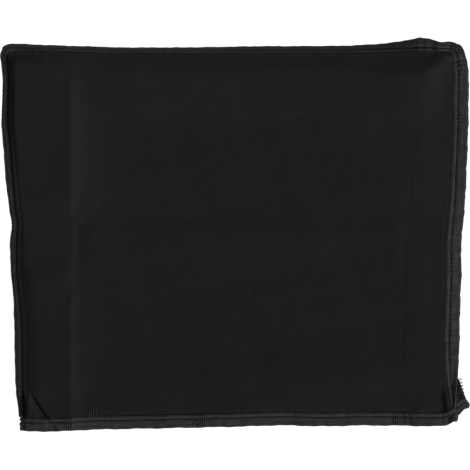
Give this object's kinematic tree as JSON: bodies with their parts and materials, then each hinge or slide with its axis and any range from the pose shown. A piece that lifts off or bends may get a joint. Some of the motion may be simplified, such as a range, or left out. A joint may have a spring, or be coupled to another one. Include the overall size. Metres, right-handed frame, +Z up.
{
  "type": "deep fryer cover",
  "caption": "Fitted cloth cover for a deep fryer, empty and lying flat, its sides and top tucked in between front and back, with taped seams and a taped open hem.",
  "frame": {"origin": "under the middle of the whole cover, on the surface it lies on", "axes": "+X to the cover's right, across its width; +Y towards its top seam, away from the open mouth; +Z up from the back panel to the front panel"},
  "size_m": [0.4674, 0.392, 0.0152],
  "materials": {
    "cover_cloth": "matte",
    "binding_tape": "matte"
  },
  "bodies": {
    "root": {"front_panel": "cover_cloth", "back_panel": "cover_cloth", "side_strip": "cover_cloth", "front_seam_tape": "binding_tape", "back_seam_tape": "binding_tape", "hem_tape": "binding_tape"}
  },
  "joints": []
}
